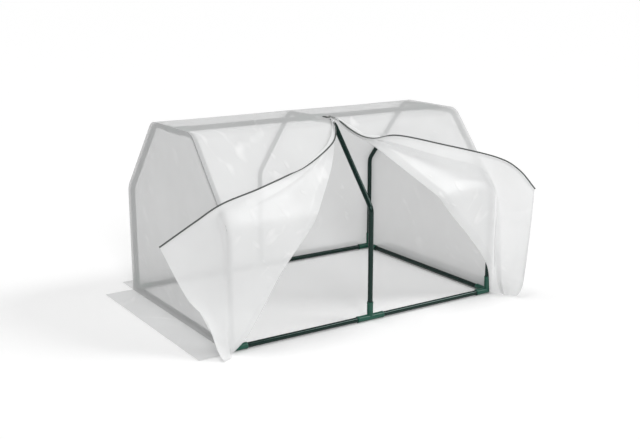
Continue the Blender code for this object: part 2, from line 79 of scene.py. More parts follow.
class Nodes:
    """A node tree of a material or the world, and the few kinds of node that the finishes share."""

    def __init__(self, tree: bpy.types.NodeTree) -> None:
        """Take a tree with its default nodes.

        Args:
            tree: The tree.
        """
        self.tree = tree
        surfaces = [node for node in tree.nodes if node.type in ("BSDF_PRINCIPLED", "BACKGROUND")]
        self.surface = surfaces[0].inputs
        self.normal: Socket | None = None

    def put(self, socket: Socket, value: object) -> None:
        """Give a socket a value of its own, or link it.

        Args:
            socket: The socket.
            value: Its value, or the socket that it is linked to.
        """
        if isinstance(value, Socket):
            self.tree.links.new(value, socket)
        else:
            socket.default_value = value

    def add(self, kind: str, **values: object) -> bpy.types.Node:
        """Add a node.

        Args:
            kind: The node's type, without the words before its own name.
            values: What its inputs are given, with spaces in their names written as underscores.

        Returns:
            The node.
        """
        node = self.tree.nodes.new("ShaderNode" + kind)
        for name, value in values.items():
            self.put(node.inputs[name.replace("_", " ")], value)
        return node

    def noise(self, scale: float, detail: float, stretch: Triple | None = None,
              turn: Triple = (0.0, 0.0, 0.0)) -> Socket:
        """Add a noise over the object's own coordinates.

        Args:
            scale: Its waves to the metre.
            detail: How many finer layers it has.
            stretch: How much the coordinates are scaled on each axis.
            turn: How the coordinates are turned first, in radians.

        Returns:
            The noise's height.
        """
        place = self.add("TexCoord").outputs["Object"]
        if stretch:
            place = self.add("Mapping", Vector=place, Rotation=turn).outputs["Vector"]
            place = self.add("Mapping", Vector=place, Scale=stretch).outputs["Vector"]
        return self.add("TexNoise", Vector=place, Scale=scale, Detail=detail).outputs["Fac"]

    def ranged(self, value: Socket, start: float, end: float, low: float, high: float) -> Socket:
        """Return a value mapped from the range between start and end to the one between low and high."""
        node = self.add("MapRange", Value=value, From_Min=start, From_Max=end, To_Min=low, To_Max=high)
        return node.outputs["Result"]

    def joined(self, operation: str, first: Socket, second: Socket) -> Socket:
        """Return what two values give together.

        Args:
            operation: How they are joined, as the Math node spells it.
            first: One value.
            second: The other.

        Returns:
            The result.
        """
        node = self.add("Math")
        node.operation = operation
        self.put(node.inputs[0], first)
        self.put(node.inputs[1], second)
        return node.outputs[0]

    def seen_directly(self) -> Socket:
        """Return 1 for what the camera or clear matter shows, and 0 for what lights other things."""
        path = self.add("LightPath").outputs
        return self.joined("MAXIMUM", path["Is Camera Ray"], path["Is Transmission Ray"])

    def bump(self, height: Socket, distance: float) -> None:
        """Add relief on top of the relief that is there.

        Args:
            height: The relief's height, from 0 to 1.
            distance: How deep it is, in metres.
        """
        node = self.add("Bump", Height=height, Strength=1.0, Distance=distance)
        if self.normal:
            self.put(node.inputs["Normal"], self.normal)
        self.normal = node.outputs["Normal"]
        self.put(self.surface["Normal"], self.normal)

    def tint(self, share: Socket, first: Triple, second: Triple) -> None:
        """Colour the surface between two colours, or lay the second over the colours that are there.

        Args:
            share: How much of the second shows.
            first: One colour, where there are none yet.
            second: The other.
        """
        node = self.add("Mix")
        node.data_type = "RGBA"
        colours = [socket for socket in node.inputs if socket.type == "RGBA"]
        self.put(node.inputs[0], share)
        self.put(colours[0], (*first, 1.0))
        self.put(colours[1], (*second, 1.0))
        for link in self.surface["Base Color"].links:
            self.put(colours[0], link.from_socket)
        self.put(self.surface["Base Color"], next(socket for socket in node.outputs if socket.type == "RGBA"))


@dataclass(frozen=True)
class Finish:
    """The plain values of one surface. Its kinds add what shows up close."""

    name: str
    colour: Triple
    roughness: float
    metallic: float = 0.0
    specular: float = 0.5
    alpha: float = 1.0

    @cache
    def material(self) -> bpy.types.Material:
        """Build the finish once.

        Returns:
            A Principled material.
        """
        material = bpy.data.materials.new(self.name)
        material.use_nodes = True
        nodes = Nodes(material.node_tree)
        for name, value in (("Base Color", (*self.colour, 1.0)), ("Roughness", self.roughness),
                            ("Metallic", self.metallic), ("Specular IOR Level", self.specular),
                            ("Alpha", self.alpha)):
            nodes.put(nodes.surface[name], value)
        self.detail(nodes)
        return material

    def detail(self, nodes: Nodes) -> None:
        """Add what shows up close to the material's nodes; a plain finish has nothing."""

    def shaded(self, amount: float) -> Triple:
        """Return the colour times an amount."""
        return tuple(min(1.0, part * amount) for part in self.colour)


@dataclass(frozen=True)
class PowderCoat(Finish):
    """Baked enamel on steel: a fine orange peel, faintly uneven in colour and gloss."""

    sheen: Triple = (0.66, 0.92, 0.84)
    peel: float = 0.00002

    def detail(self, nodes: Nodes) -> None:
        """Add the orange peel and the unevenness.

        Args:
            nodes: The material's nodes.
        """
        nodes.put(nodes.surface["Specular Tint"], (*self.sheen, 1.0))
        nodes.tint(nodes.noise(14.0, 3.0), self.shaded(0.8), self.shaded(1.25))
        gloss = nodes.ranged(nodes.noise(60.0, 2.0), 0.3, 0.7, self.roughness - 0.04, self.roughness + 0.05)
        nodes.put(nodes.surface["Roughness"], gloss)
        nodes.bump(nodes.noise(700.0, 1.0), self.peel)


@dataclass(frozen=True)
class MouldedPlastic(Finish):
    """Moulded plastic: a fine sparked grain and soft flow marks."""

    flow_depth: float = 0.0001
    grain_depth: float = 0.00004

    def detail(self, nodes: Nodes) -> None:
        """Add the grain and the flow marks.

        Args:
            nodes: The material's nodes.
        """
        nodes.tint(nodes.noise(55.0, 3.0), self.shaded(0.85), self.shaded(1.2))
        nodes.bump(nodes.noise(90.0, 2.0), self.flow_depth)
        nodes.bump(nodes.noise(1500.0, 1.0), self.grain_depth)


@dataclass(frozen=True)
class ClearFilm(Finish):
    """Thin clear film: slack swells, fine creases on the slant with a painted highlight whitening each, and a
    little haze in its gloss.
    """

    # how many creases there are, and so how much painted highlight they carry
    crease_and_highlight_amount: float = 1.0
    swell_depth: float = 0.003
    crease_depth: float = 0.0012
    crease_stretch: Triple = (1.0, 0.13, 0.45)

    def detail(self, nodes: Nodes) -> None:
        """Add swells, creases with a painted highlight, and haze.

        Args:
            nodes: The material's nodes.
        """
        nodes.tint(nodes.ranged(nodes.noise(6.0, 2.0), 0.35, 0.65, 0.0, 1.0), self.colour, self.shaded(0.95))
        gloss = nodes.ranged(nodes.noise(25.0, 2.0), 0.3, 0.7, self.roughness - 0.06, self.roughness + 0.10)
        nodes.put(nodes.surface["Roughness"], gloss)
        nodes.bump(nodes.noise(7.0, 2.0), self.swell_depth)
        for turn, size, spread in (((0.5, 0.6, 0.75), 46.0, 5.5), ((0.4, -0.5, -0.9), 34.0, 4.3)):
            lines = nodes.noise(size, 1.0, self.crease_stretch, turn)
            patches = nodes.ranged(nodes.noise(spread, 1.0), 0.52, 0.66, 0.0, self.crease_and_highlight_amount)
            creases_and_highlights = nodes.joined("MULTIPLY", nodes.ranged(lines, 0.60, 0.74, 0.0, 1.0), patches)
            nodes.bump(creases_and_highlights, self.crease_depth)
            # painted highlight: the crease streaks are tinted towards white, as if they catch the light
            nodes.tint(creases_and_highlights, self.colour, (1.0, 1.0, 1.0))


@dataclass(frozen=True)
class CoilZip(Finish):
    """A nylon coil zip: teeth across its run."""

    pitch: float = 0.0025
    tooth: float = 0.0004

    def detail(self, nodes: Nodes) -> None:
        """Add the teeth, with painted shade and painted highlight in bands across them.

        Args:
            nodes: The material's nodes.
        """
        run = nodes.add("TexCoord").outputs["UV"]
        teeth = nodes.add("TexWave", Vector=run, Scale=1.0 / (self.pitch * math.pi)).outputs["Fac"]
        # painted shade and highlight: darker and lighter bands across the teeth, where the coil's turns would
        # be shaded and lit
        nodes.tint(teeth, self.shaded(0.6), self.shaded(1.3))
        nodes.bump(teeth, self.tooth)


@dataclass(frozen=True)
class CastMetal(Finish):
    """Plated die-cast metal: brushed lines and an uneven tone."""

    line_depth: float = 0.00005

    def detail(self, nodes: Nodes) -> None:
        """Add the lines and the unevenness to the material's nodes."""
        nodes.tint(nodes.noise(300.0, 2.0), self.shaded(0.75), self.shaded(1.2))
        nodes.bump(nodes.noise(400.0, 2.0, (6.0, 1.0, 1.0)), self.line_depth)


@dataclass(frozen=True)
class StudioFloor(Finish):
    """A pale studio floor, which keeps shadows and meets the white surround."""

    lift: float = 0.105

    def detail(self, nodes: Nodes) -> None:
        """Lift the floor to white for what is seen, and leave its light on the object alone.

        Args:
            nodes: The material's nodes.
        """
        nodes.put(nodes.surface["Emission Color"], (1.0, 1.0, 1.0, 1.0))
        glow = nodes.ranged(nodes.seen_directly(), 0.0, 1.0, 0.0, self.lift)
        nodes.put(nodes.surface["Emission Strength"], glow)


STEEL = PowderCoat("green_steel", (0.002, 0.013, 0.010), 0.13, specular=0.46)
PLASTIC = MouldedPlastic("green_plastic", (0.008, 0.085, 0.055), 0.28, specular=0.45)
FILM = ClearFilm("clear_film", (0.84, 0.845, 0.845), 0.34, specular=0.35, alpha=0.66)
# painted shade: the end walls are the cover's own film, coloured darker because they face away from the lamps
SHADED_END_FILM = ClearFilm("end_film_painted_shade", (0.75, 0.755, 0.755), 0.34, specular=0.35, alpha=0.66, crease_and_highlight_amount=0.2)
# painted light: the doors and ground skirts are the cover's own film, coloured lighter so they look better
# lit; it is also made less clear
LIT_DOOR_FILM = ClearFilm("lit_door_film", (0.93, 0.935, 0.935), 0.34, specular=0.35, alpha=0.78)
ZIP = CoilZip("coil_zip", (0.105, 0.115, 0.110), 0.5, specular=0.35)
METAL = CastMetal("cast_zip_metal", (0.32, 0.33, 0.32), 0.32, metallic=0.85)
FLOOR = StudioFloor("pale_floor", (0.95, 0.95, 0.95), 0.9, specular=0.2)


def linked(name: str, data: bpy.types.ID) -> Piece:
    """Return a new object that holds some data, linked to the scene.

    Args:
        name: The object's name.
        data: Its mesh, lamp or camera.

    Returns:
        The object.
    """
    item = bpy.data.objects.new(name, data)
    bpy.context.scene.collection.objects.link(item)
    return item


def new_piece(name: str, points: Grid, faces: Faces, finish: Finish) -> Piece:
    """Make a smooth-shaded object.

    Args:
        name: The object's name.
        points: Its corners.
        faces: Its faces, as indexes of corners.
        finish: Its finish.

    Returns:
        The linked object.
    """
    mesh = bpy.data.meshes.new(name)
    mesh.from_pydata([tuple(point) for point in points], [], faces)
    mesh.shade_smooth()
    mesh.set_sharp_from_angle(angle=SHARP_EDGE)
    mesh.materials.append(finish.material())
    return linked(name, mesh)


def grid_faces(rows: int, columns: int, closed: bool = False, looped: bool = False,
               first: int = 0) -> Faces:
    """Return the quads of a grid of corners.

    Args:
        rows: How many rows of corners.
        columns: How many corners a row has.
        closed: Whether each row is a ring.
        looped: Whether the last row joins the first.
        first: The index of the first corner.

    Returns:
        The faces.
    """
    faces = []
    for row in range(rows if looped else rows - 1):
        here, below = first + row * columns, first + (row + 1) % rows * columns
        for column in range(columns if closed else columns - 1):
            after = (column + 1) % columns
            faces.append((here + column, here + after, below + after, below + column))
    return faces


def caps(rings: int, sides: int, first: int = 0) -> Faces:
    """Return the two faces that close a stack of rings, which starts at the corner of index first."""
    last = first + (rings - 1) * sides
    return [tuple(reversed(range(first, first + sides))), tuple(range(last, last + sides))]


def ring(centre: Vector, radius: float, across: Vector, up: Vector, sides: int) -> Path:
    """Return the corners of a ring, from the way across towards the way up."""
    turns = [2 * math.pi * side / sides for side in range(sides)]
    return [centre + radius * (math.cos(turn) * across + math.sin(turn) * up) for turn in turns]


def wander(place: Vector, size: float, seed: float) -> float:
    """Return a smooth swell at a place, between about -1 and 1. Size is its length and seed its pattern."""
    return noise.noise(place / size + Vector((seed, -2.0 * seed, 0.5 * seed)))


def eased(value: float) -> float:
    """Return a value kept between 0 and 1, with soft ends."""
    value = min(1.0, max(0.0, value))
    return value * value * (3.0 - 2.0 * value)


def rounded_ramp(value: float) -> float:
    """Return the greater of a value and 0, with the bend between them rounded off."""
    return max(0.0, value) + math.log1p(math.exp(-abs(value)))


def unit(ways: Grid) -> Grid:
    """Return vectors scaled to a length of one."""
    return ways / np.maximum(np.linalg.norm(ways, axis=-1, keepdims=True), 1e-12)


def grid_normals(grid: Grid) -> Grid:
    """Return a grid's unit normals: from row to row, crossed with from column to column."""
    return unit(np.cross(np.gradient(grid, axis=0), np.gradient(grid, axis=1)))


class Sheet:
    """Gathers grids of points into one film piece."""

    def __init__(self) -> None:
        """Start an empty sheet."""
        self.points: list[Grid] = []
        self.faces: Faces = []
        self.count = 0

    def add(self, grid: Grid) -> None:
        """Add a grid.

        Args:
            grid: Rows of points.
        """
        rows, columns = grid.shape[:2]
        self.faces += grid_faces(rows, columns, first=self.count)
        self.points.append(grid.reshape(-1, 3))
        self.count += rows * columns

    def add_strip(self, edge: Grid, inner: Grid, normals: Grid, width: float) -> None:
        """Add a second layer along an edge: a welded seam or a hem.

        Args:
            edge: The edge's points.
            inner: A point further in for each.
            normals: The sheet's normal at each, or one for all.
            width: How wide the layer is.
        """
        layer = edge + OUTLINE.film * normals
        self.add(np.stack([layer, layer + width * unit(inner - edge)], axis=1))

    def made(self, name: str, finish: Finish) -> Piece:
        """Return the sheet as a piece of film.

        Args:
            name: The piece's name.
            finish: Its finish.

        Returns:
            The piece.
        """
        item = new_piece(name, np.concatenate(self.points), self.faces, finish)
        return item


@dataclass(frozen=True)
class Outline:
    """The greenhouse's cross-section: legs, sloping sides and flat top."""

    half_length: float = 0.492
    half_depth: float = 0.342
    half_top: float = 0.134
    knee_height: float = 0.360
    top_height: float = 0.600
    bend: float = 0.045
    film_offset: float = 0.0112
    film: float = 0.0006
    foot: float = 0.0009
    roof_edge: float = 0.075
    bend_steps: int = 10
    parting: int = 3

    def corners(self, offset: float) -> tuple[Vector, Vector]:
        """Return the front's knee and top corner, moved outwards from the tube axes.

        Args:
            offset: How far outwards.

        Returns:
            The knee and the top corner at x = 0.
        """
        knee = Vector((0, -self.half_depth, self.knee_height))
        top = Vector((0, -self.half_top, self.top_height))
        slope = X.cross(top - knee).normalized()
        knee += offset * (slope - Y) / (1 - Y.dot(slope))
        top += offset * (slope + Z) / (1 + slope.dot(Z))
        return knee, top

    def rounded(self, path: Path, radius: float) -> Path:
        """Return a path with arcs at its inner corners.

        Args:
            path: The corners.
            radius: The arcs' radius.

        Returns:
            The path with its arcs.
        """
        out = [path[0]]
        for before, corner, after in zip(path, path[1:], path[2:]):
            inward, outward = (before - corner).normalized(), (after - corner).normalized()
            half = (math.pi - inward.angle(outward)) / 2
            centre = corner + (inward + outward).normalized() * radius / math.cos(half)
            start = corner + inward * radius * math.tan(half) - centre
            axis = start.cross(corner + outward * radius * math.tan(half) - centre).normalized()
            for step in range(self.bend_steps + 1):
                out.append(centre + Matrix.Rotation(2 * half * step / self.bend_steps, 3, axis) @ start)
        return out + [path[-1]]

    def front(self, offset: float) -> Path:
        """Return the front's outline from the flat top down to the ground.

        Args:
            offset: How far outwards of the tube axes.

        Returns:
            The outline at x = 0.
        """
        knee, top = self.corners(offset)
        path = [Vector((0, -self.roof_edge, self.top_height + offset)), top, knee,
                Vector((0, -self.half_depth - offset, self.foot))]
        return self.rounded(path, self.bend + offset)

    def door(self, offset: float) -> Path:
        """Return the front's outline from where the doors part, a little into the top bend, down."""
        return self.front(offset)[self.parting:]


OUTLINE = Outline()


def headings(path: Path) -> Path:
    """Return the way a path runs at each of its points."""
    last = len(path) - 1
    return [(path[min(index + 1, last)] - path[max(index - 1, 0)]).normalized() for index in range(last + 1)]


def strides(path: Path, stride: float) -> Path:
    """Divide the long straight runs of a path.

    Args:
        path: The path.
        stride: About how long each piece is.

    Returns:
        The finer path.
    """
    fine = [path[0]]
    for start, end in zip(path, path[1:]):
        steps = max(1, round((end - start).length / stride))
        fine += [start.lerp(end, step / steps) for step in range(1, steps + 1)]
    return fine


def shares(path: Path) -> list[float]:
    """Return how far along a path each of its points lies, from 0 to 1."""
    lengths = np.cumsum([0.0] + [(end - start).length for start, end in zip(path, path[1:])])
    return (lengths / lengths[-1]).tolist()


def at_share(path: Path, share: float) -> Vector:
    """Return the point at a share of a path, which goes straight on beyond its ends.

    Args:
        path: The path.
        share: The share of its length.

    Returns:
        The point.
    """
    marks = shares(path)
    index = 0
    while index < len(path) - 2 and marks[index + 1] < share:
        index += 1
    return path[index].lerp(path[index + 1], (share - marks[index]) / (marks[index + 1] - marks[index]))


def smooth_line(points: Path) -> Path:
    """Return a fine path on the smooth curve through some points.

    Args:
        points: The points.

    Returns:
        The fine path.
    """
    ends = [2 * points[0] - points[1]] + list(points) + [2 * points[-1] - points[-2]]
    fine = []
    for index in range(len(points) - 1):
        a, b, c, d = ends[index:index + 4]
        for step in range(CURVE_STEPS):
            t = step / CURVE_STEPS
            bend = (2 * a - 5 * b + 4 * c - d) * t ** 2 + (3 * b - a - 3 * c + d) * t ** 3
            fine.append(b + 0.5 * ((c - a) * t + bend))
    return fine + [points[-1]]


@dataclass
class TubeFrame:
    """The steel tubes of base, hoops and ridge."""

    radius: float = 0.008
    wall: float = 0.0006
    stop: float = 0.016
    base_height: float = 0.010239
    sides: int = 24

    def tube(self, name: str, path: Path, across: Vector) -> None:
        """Sweep a smooth open tube in place of a CAD node.

        Args:
            name: The CAD node.
            path: The tube's axis.
            across: A direction square to the axis' plane.
        """
        stations = list(range(len(path)))
        ups = [ahead.cross(across) for ahead in headings(path)]
        points = []
        for radius, order in ((self.radius, stations), (self.radius - self.wall, stations[::-1])):
            for index in order:
                points += ring(path[index], radius, across, ups[index], self.sides)
        faces = grid_faces(2 * len(path), self.sides, closed=True, looped=True)
        item = new_piece("tube_" + name, np.array(points), faces, STEEL)
        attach(item, "frame_and_cover")
        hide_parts(name)

    def run(self, name: str, end: Side, y: float, z: float) -> None:
        """Build a straight tube in place of a CAD node, from the middle joint to the one at an end."""
        places = (self.stop, OUTLINE.half_length - self.stop)
        self.tube(name, [Vector((end.value * x, y, z)) for x in places], Y)

    def build(self) -> None:
        """Build all tubes."""
        line = OUTLINE
        corners = [(line.half_depth, self.base_height + self.stop), (line.half_depth, line.knee_height),
                   (line.half_top, line.top_height), (self.stop, line.top_height)]
        for word, side in (("front", -1), ("back", 1)):
            for end, place in (("left", -1), ("middle", 0), ("right", 1)):
                path = [Vector((place * line.half_length, side * y, z)) for y, z in corners]
                self.tube(f"hoop_{end}_{word}", line.rounded(path, line.bend), X)
            for end in Side:
                self.run(f"base_rail_{word}_{end.word}", end, side * line.half_depth, self.base_height)
        reach = line.half_depth - self.stop
        for end in Side:
            rail = [Vector((end.value * line.half_length, y, self.base_height)) for y in (-reach, reach)]
            self.tube("base_rail_side_" + end.word, rail, X)
            self.run("ridge_tube_" + end.word, end, 0, line.top_height)


@dataclass
class Connectors:
    """Moulded connectors: smooth socket arms round a ball, each with a collar at its mouth."""

    radius: float = 0.0098
    collar: float = 0.0102
    collar_width: float = 0.0060
    bore: float = 0.0083
    reach: float = 0.050
    stop: float = 0.0157
    core: float = 0.0005
    round_off: float = 0.0005
    sides: int = 32
    ball_steps: int = 12

    def profiles(self) -> tuple[list[Pair], list[Pair]]:
        """Return how an arm's and the ball's outlines run, as places along their axis and radii."""
        ramp = self.reach - self.collar_width
        arm = [(0.0, self.core), (self.core, self.radius), (ramp - self.round_off, self.radius),
               (ramp, self.collar), (self.reach - self.round_off, self.collar),
               (self.reach, self.collar - self.round_off / 2), (self.reach, self.bore),
               (self.stop, self.bore)]
        turns = [math.pi * step / self.ball_steps for step in range(1, self.ball_steps)]
        return arm, [(-self.radius * math.cos(turn), self.radius * math.sin(turn)) for turn in turns]

    def connector(self, name: str, centre: Vector, arms: Path) -> None:
        """Build one connector in place of its CAD node.

        Args:
            name: The CAD node.
            centre: Where its arms' axes meet.
            arms: The way that each arm points.
        """
        points: Path = []
        faces: Faces = []
        arm, ball = self.profiles()
        for along, outline in [(way, arm) for way in arms] + [(arms[0], ball)]:
            across = Y if along.x else X
            first, rings = len(points), len(outline)
            for place, radius in outline:
                points += ring(centre + place * along, radius, across, along.cross(across), self.sides)
            faces += grid_faces(rings, self.sides, closed=True, first=first) + caps(rings, self.sides, first)
        item = new_piece("socket_" + name, np.array(points), faces, PLASTIC)
        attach(item, "frame_and_cover")
        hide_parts(name)

    def build(self) -> None:
        """Build the connectors of base and ridge."""
        line = OUTLINE
        low = TubeFrame.base_height
        for word, side in (("front", -1), ("back", 1)):
            middle = Vector((0, side * line.half_depth, low))
            self.connector("base_tee_" + word, middle, [X, -X, Z])
            for end in Side:
                corner = middle + end.value * line.half_length * X
                self.connector(f"base_corner_{word}_{end.word}", corner, [-end.value * X, -side * Y, Z])
        top = line.top_height * Z
        self.connector("ridge_joint_middle", top, [Y, -Y, X, -X])
        for end in Side:
            place = top + end.value * line.half_length * X
            self.connector("ridge_joint_" + end.word, place, [Y, -Y, -end.value * X])


# the half zip's section, round its coil and its tape: how far out from the film's edge, and how high
ZIP_SECTION = ((0.0022, -0.0006), (0.0028, -0.0012), (0.0044, -0.0012), (0.0052, -0.0006), (0.0052, 0.0006),
               (0.0044, 0.0012), (0.0028, 0.0012), (0.0022, 0.0006), (0.0006, 0.0004), (0.0006, -0.0004))


@dataclass
class Door:
    """One door: its film, folded back over the fixed front, and its half of the zip."""

    side: Side
    crease: tuple[Pair, ...]
    zip_edge: tuple[tuple[float, ...], ...]
    hem: tuple[Triple, ...]
    hinge: float
    flare: float
    flat: Pair
    area: float
    # the film's grid, from the crease over the fold to the free edge
    stride: float = 0.0075
    columns: int = 72
    fold_column: int = 48
    roll_steps: int = 6
    mouth_gap: float = 0.0015
    corner_tab: float = 0.007
    corner_share: float = 0.80
    zip_at_hoop: float = 0.64
    fold_out: float = 0.005
    fold_rise: float = 1.48
    fold_slide: float = 0.8
    hem_width: float = 0.008
    # how it stays off the fixed film
    crease_lift: float = 0.0014
    lift: float = 0.0090
    gap_growth: float = 0.3
    softness: float = 0.009
    soft_start: float = 0.002
    soft_growth: float = 0.12
    ease: float = 0.3
    clear_rounds: int = 4
    # its slack
    passes: int = 90
    settling: int = 2
    swell: float = 0.0030
    swell_sizes: Pair = (0.14, 0.05)
    free_reach: float = 0.05
    edge_columns: int = 12
    billow: float = 0.008
    crest: float = 1.0
    crumple: float = 0.0040
    crumple_size: float = 0.021
    foot_start: float = 0.002
    foot_height: float = 0.06
    foot_roll: float = 0.014
    ground_gap: float = 0.0012
    # where the zip lies on the outside of the film, by rows from the apex
    mouth_lift: float = 0.0085
    mouth_way: Triple = (0, -0.755, 0.655)
    mouth_rise: Pair = (-2, 4)
    mouth_fall: Pair = (5, 15)
    # how it hangs between frame and door
    blend_way: Triple = (0.745, -0.136, 0.653)
    blend_span: Pair = (0.004, 0.19)

    def across(self, down: float) -> float:
        """Return where the crease lies across the front.

        Args:
            down: The share down the front.

        Returns:
            Its x.
        """
        curve = smooth_line([Vector((mark[1], mark[0], 0)) for mark in self.crease])
        share = float(np.interp(down, [point.y for point in curve], [point.x for point in curve]))
        reach = OUTLINE.half_length + OUTLINE.film_offset - self.corner_tab - self.mouth_gap
        return self.side.value * (self.mouth_gap + share * reach)

    def edge_point(self, mark: tuple[float, ...]) -> Vector:
        """Return a point of the zip edge or the hem.

        Args:
            mark: Shares across and down with a lift, or, with a fourth value, the way out past the post,
                forward of the front and the height.

        Returns:
            The point.
        """
        if len(mark) == 4:
            return Vector((self.side.value * (OUTLINE.half_length + OUTLINE.film_offset + mark[0]),
                           -OUTLINE.half_depth - OUTLINE.film_offset - mark[1], mark[2]))
        point = at_share(OUTLINE.door(OUTLINE.film_offset + mark[2]), mark[1])
        return Vector((self.side.value * mark[0] * OUTLINE.half_length, point.y, point.z))

    def lines(self) -> tuple[Path, Path]:
        """Return the zip edge and the hem as fine paths."""
        edge = [self.edge_point(mark) for mark in self.zip_edge]
        hem = [edge[-1]] + [self.edge_point((*mark, 0.0)) for mark in self.hem]
        return smooth_line(edge), smooth_line(hem)

    def stand_off(self, point: Vector, softness: float) -> tuple[float, Vector]:
        """Return how far a point stands off the fixed film, and the way in which that grows.

        Args:
            point: The point.
            softness: How far the bends of the fixed film are rounded off.

        Returns:
            The distance, less than nothing inside, and its gradient.
        """
        knee, top = OUTLINE.corners(0.0)
        end = self.side.value * X
        slope = X.cross(top - knee).normalized()
        walls = ((-Y, knee), (slope, knee), (Z, top), (end, OUTLINE.half_length * end))
        depths = [normal.dot(point - anchor) - OUTLINE.film_offset for normal, anchor in walls]
        weights = [math.exp((depth - max(depths)) / softness) for depth in depths]
        push = sum((weight * wall[0] for weight, wall in zip(weights, walls)), Vector()) / sum(weights)
        return max(depths) + softness * math.log(sum(weights)), push

    def clear(self, point: Vector, gap: float, softness: float) -> Vector:
        """Move a point outwards where it must be, to lie the gap off the fixed film.

        Args:
            point: The point.
            gap: The gap.
            softness: How far the bends of the fixed film are rounded off.

        Returns:
            The clear point.
        """
        depth, push = self.stand_off(point, softness)
        ease = self.ease * softness
        target = gap + ease * rounded_ramp((depth - gap) / ease)
        for _ in range(self.clear_rounds):
            point = point + push * (target - depth) / push.length_squared
            depth, push = self.stand_off(point, softness)
        return point

    def fold(self, start: Vector, end: Vector, down: float) -> Vector:
        """Return the fold of a row over the end hoop.

        Args:
            start: The row's start on the crease.
            end: The row's end on the zip edge or the hem.
            down: The share down the front.

        Returns:
            The fold's point.
        """
        corner = OUTLINE.half_length + OUTLINE.film_offset + self.fold_out
        if self.side.value * end.x < corner + self.fold_out / 2:
            even = self.fold_column / self.columns
            slide = self.fold_slide * min(1.0, down / self.zip_at_hoop) ** 3
            return start.lerp(end, even + slide * (1 - even))
        place = 1 - self.fold_rise * (1 - down)
        lift = self.fold_out + self.flare * max(0.0, place) ** 3
        point = at_share(OUTLINE.door(OUTLINE.film_offset + lift), place)
        point.x = self.side.value * (corner + (lift - self.fold_out) / 2)
        return point

    def rows(self) -> tuple[Grid, int]:
        """Return the film's grid of points and the row of its free corner."""
        zip_edge, hem = self.lines()
        line = strides(OUTLINE.door(OUTLINE.film_offset + self.crease_lift), self.stride)
        marks = shares(line)
        corner = min(marks, key=lambda mark: abs(mark - self.corner_share))
        rows = []
        for point, down in zip(line, marks):
            point.x = self.across(down)
            if down > corner:
                end = at_share(hem, (down - corner) / (1 - corner))
            else:
                end = at_share(zip_edge, down / corner)
            fold = self.fold(point, end, down)
            near = [point.lerp(fold, step / self.fold_column) for step in range(self.fold_column + 1)]
            steps = self.columns - self.fold_column
            far = [fold.lerp(end, step / steps) for step in range(1, steps + 1)]
            rows.append(near + far)
        return self.softened(np.array(rows)), marks.index(corner)

    def softened(self, grid: Grid) -> Grid:
        """Round the folds of a grid, and give it slack.

        Args:
            grid: The grid of points.

        Returns:
            The softened grid.
        """
        for _ in range(self.passes):
            inner = grid.copy()
            inner[:, 1:-1] = 0.5 * grid[:, 1:-1] + 0.25 * (grid[:, :-2] + grid[:, 2:])
            inner[1:-1, 1:-1] = 0.5 * inner[1:-1, 1:-1] + 0.25 * (inner[:-2, 1:-1] + inner[2:, 1:-1])
            grid = inner
        normals = -self.side.value * grid_normals(grid)
        for row, column in np.ndindex(*grid.shape[:2]):
            if 0 < column < self.columns:
                place, normal = Vector(grid[row, column]), Vector(normals[row, column])
                reach = (place - Vector(grid[row, 0])).length
                grid[row, column] = self.slack(place, column, reach, normal)
        for _ in range(self.settling):
            grid[1:-1, 2:-1] = (4.0 * grid[1:-1, 2:-1] + grid[:-2, 2:-1] + grid[2:, 2:-1] + grid[1:-1, 1:-2]
                                + grid[1:-1, 3:]) / 8.0
        grid[:, :, 2] = np.maximum(grid[:, :, 2], self.ground_gap)
        return grid

    def slack(self, place: Vector, column: int, reach: float, normal: Vector) -> Vector:
        """Return where a point lies once the film has its swells, its crumpled foot and its billow.

        Args:
            place: The point.
            column: Its column.
            reach: How far it is from the crease.
            normal: The film's normal there.

        Returns:
            The point, kept off the fixed film.
        """
        free = eased(reach / self.free_reach) * eased((self.columns - column) / self.edge_columns)
        broad, fine = self.swell_sizes
        waves = 0.5 * self.swell * (1.0 + wander(place, broad, 3.0) + 0.2 * wander(place, fine, 7.0))
        low = 1.0 - eased((place.z - self.foot_start) / self.foot_height)
        foot = self.crumple * low * wander(place, self.crumple_size, 11.0)
        roll = self.billow * math.sin(math.pi * min(1.0, column / self.fold_column) ** self.crest)
        place = place - self.foot_roll * low ** 2 * math.sin(math.pi * column / self.columns) * Y
        place += (free * (waves + foot) + roll) * normal
        gap = min(self.lift, self.crease_lift + self.gap_growth * reach)
        return self.clear(place, gap, min(self.softness, self.soft_start + self.soft_growth * reach))

    def roll(self, grid: Grid) -> Grid:
        """Add the tight roll in which the film turns back at the crease.

        Args:
            grid: The film's points, from the crease on.

        Returns:
            The points, from the fixed film's edge on.
        """
        down = unit(np.gradient(grid[:, 0], axis=0))
        out = unit(np.cross(-self.side.value * X, down))
        inward = np.cross(out, down)
        inward *= np.where(self.side.value * inward[:, :1] > 0, -1.0, 1.0)
        half = self.crease_lift / 2
        turns = [math.pi * step / self.roll_steps for step in range(self.roll_steps)]
        arc = [half * (math.sin(turn) * inward - (1 + math.cos(turn)) * out) for turn in turns]
        return np.concatenate([np.stack([grid[:, 0] + step for step in arc], axis=1), grid], axis=1)

    def build(self) -> None:
        """Build the film and the half zip, bake their places into their meshes, and hide the CAD nodes they
        replace.
        """
        grid, corner = self.rows()
        normals = -self.side.value * grid_normals(grid)
        film = Sheet()
        film.add(self.roll(grid))
        film.add_strip(grid[:, -1], grid[:, -2], normals[:, -1], self.hem_width)
        item = film.made("film_door_" + self.side.word, LIT_DOOR_FILM)
        self.hang(item)
        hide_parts("door_flap_" + self.side.word, "door_mouth_" + self.side.word)
        chain = self.chain(grid[:corner + 1])
        self.hang(chain)
        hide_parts("zip_half_" + self.side.word, "zip_mouth_" + self.side.word)

